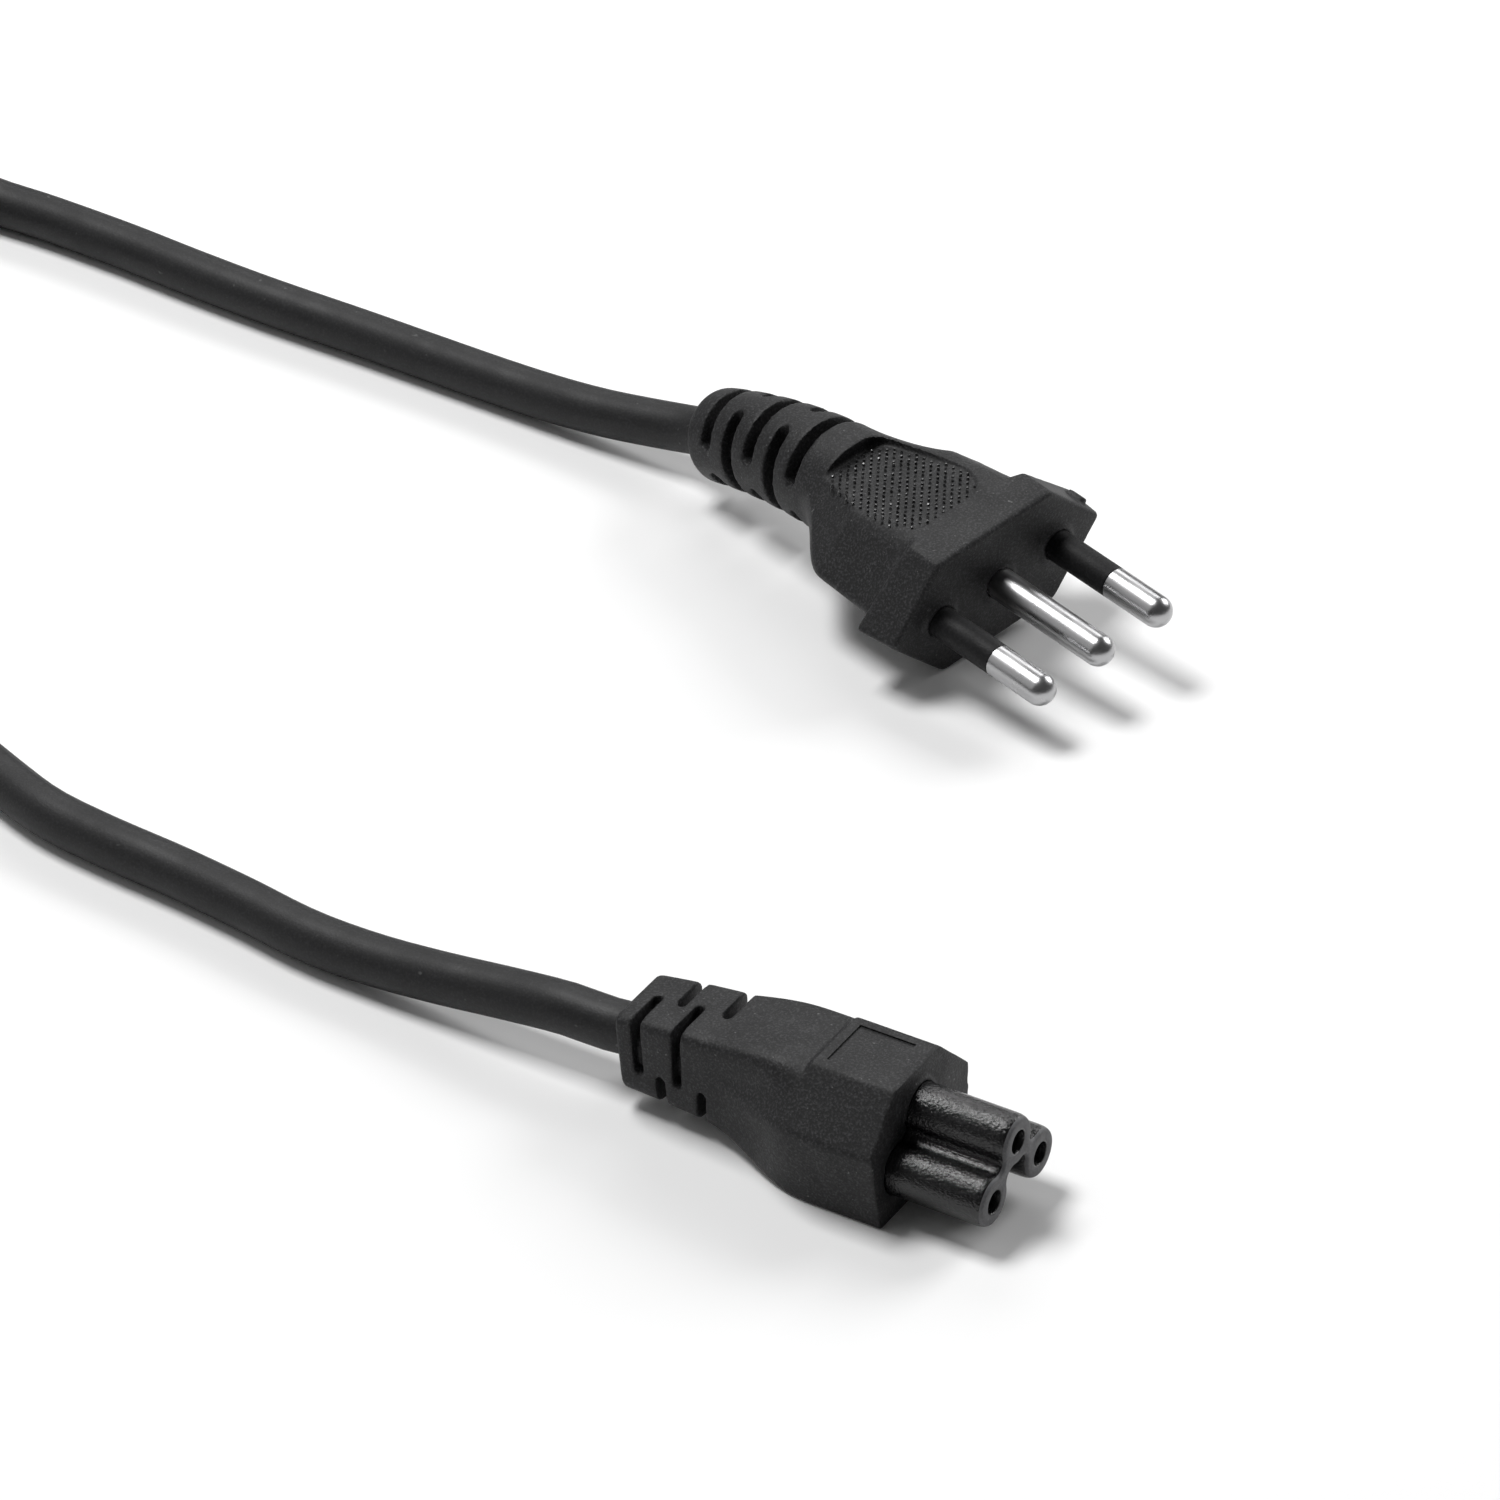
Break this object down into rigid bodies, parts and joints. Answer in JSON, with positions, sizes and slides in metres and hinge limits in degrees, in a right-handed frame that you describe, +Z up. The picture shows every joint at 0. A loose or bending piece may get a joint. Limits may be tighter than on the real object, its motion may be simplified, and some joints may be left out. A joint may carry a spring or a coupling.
{
  "type": "cloverleaf power cord",
  "caption": "Black mains cord, 1.5 m: cloverleaf connector with a slotted strain relief at one end, flat plug with three round pins in line at the other, spare length coiled and tied",
  "frame": {"origin": "on the floor under the middle of the connector, halfway between its nose tip and the back of its strain relief", "axes": "+X along the connector out of its nose, +Y across it towards the plug's stretch of cord, +Z up from the floor"},
  "size_m": [0.3017, 0.1283, 0.0195],
  "materials": {
    "overmould": "black PVC, fine spark-eroded grain",
    "nose_insert": "hard black insert, half gloss",
    "sheath": "extruded black PVC sheath, satin",
    "pins": "nickel-plated brass, polished",
    "contacts": "bare contact strip",
    "pin_sleeves": "black insulating sleeve",
    "tie": "black strap"
  },
  "bodies": {
    "root": {"connector_body": "overmould", "connector_nose": "nose_insert", "contact_line": "contacts", "contact_neutral": "contacts", "contact_earth": "contacts", "plug_body": "overmould", "pin_line": "pins", "pin_neutral": "pins", "pin_earth": "pins", "pin_sleeve_line": "pin_sleeves", "pin_sleeve_neutral": "pin_sleeves", "cord_connector_side": "sheath", "cord_coil": "sheath", "cord_plug_side": "sheath", "coil_tie": "tie"}
  },
  "joints": []
}
